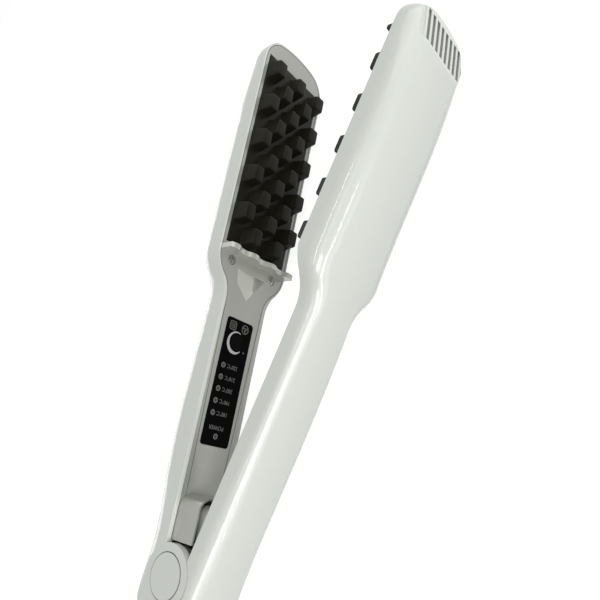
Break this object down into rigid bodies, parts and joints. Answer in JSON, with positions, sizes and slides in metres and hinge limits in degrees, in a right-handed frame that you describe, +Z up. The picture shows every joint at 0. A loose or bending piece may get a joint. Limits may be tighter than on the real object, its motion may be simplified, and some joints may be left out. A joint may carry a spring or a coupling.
{
  "type": "hair crimper",
  "caption": "Hair crimping iron with two hinged grey arms, meshing studded plates, a black control strip with a push button, a wavy collar and a sprung hinge",
  "frame": {"origin": "middle of the underside of the part's box, as it lies open on the flat side walls of its two heads", "axes": "+Y from the hinge towards the tips, +Z up along the hinge axis, +X from the first arm to the second"},
  "size_m": [0.0994, 0.2698, 0.0444],
  "materials": {
    "shell": "satin light grey",
    "cover": "satin grey",
    "plate": "dark non-stick coat",
    "heat_plastic": "black heat-proof plastic",
    "heater": "sintered heater",
    "spring_steel": "bare",
    "strip": "gloss black",
    "clear": "clear",
    "board": "printed board",
    "button": "gloss black",
    "screw": "bare",
    "hinge_plastic": "satin light grey",
    "gland": "soft black"
  },
  "bodies": {
    "arm_a": {"shell_a": "shell", "cover_a": "cover", "plate_a": "plate", "plate_frame_a": "heat_plastic", "heater_a": "heater", "heater_clip_a": "spring_steel", "thermistor_a": "heat_plastic", "thermal_fuse": "screw", "label_panel": "strip", "light_guide": "clear", "circuit_board": "board", "tact_switch": "heat_plastic", "power_module": "heat_plastic", "cover_screw_a1": "screw", "cover_screw_a2": "screw", "hinge_pin": "screw", "hinge_cap_near": "hinge_plastic", "hinge_cap_far": "hinge_plastic", "hinge_barrel": "heat_plastic", "opening_spring": "spring_steel"},
    "arm_b": {"shell_b": "shell", "cover_b": "cover", "plate_b": "plate", "plate_frame_b": "heat_plastic", "heater_b": "heater", "heater_clip_b": "spring_steel", "thermistor_b": "heat_plastic", "cover_screw_b1": "screw", "cover_screw_b2": "screw", "hinge_block_b": "hinge_plastic"},
    "button": {"mode_button": "button"},
    "gland": {"cord_gland": "gland"}
  },
  "joints": [
    {"name": "jaw_hinge", "type": "hinge", "parent": "arm_a", "child": "arm_b", "pos_m": [0, -0.112, 0.0222], "axis": [0, 0, 1], "range_deg": [0, 16.2], "stiffness_Nm_per_rad": 0.6, "springref_deg": -14.32},
    {"name": "mode_button_press", "type": "slide", "parent": "arm_a", "child": "button", "axis": [-0.99, -0.1409, 0], "range_m": [0, 0.0006], "stiffness_N_per_m": 800, "springref_m": -0.0005},
    {"name": "cord_swivel", "type": "hinge", "parent": "arm_a", "child": "gland", "pos_m": [-0.00615, -0.13409, 0.0222], "axis": [0.1409, -0.99, 0], "continuous": true}
  ]
}
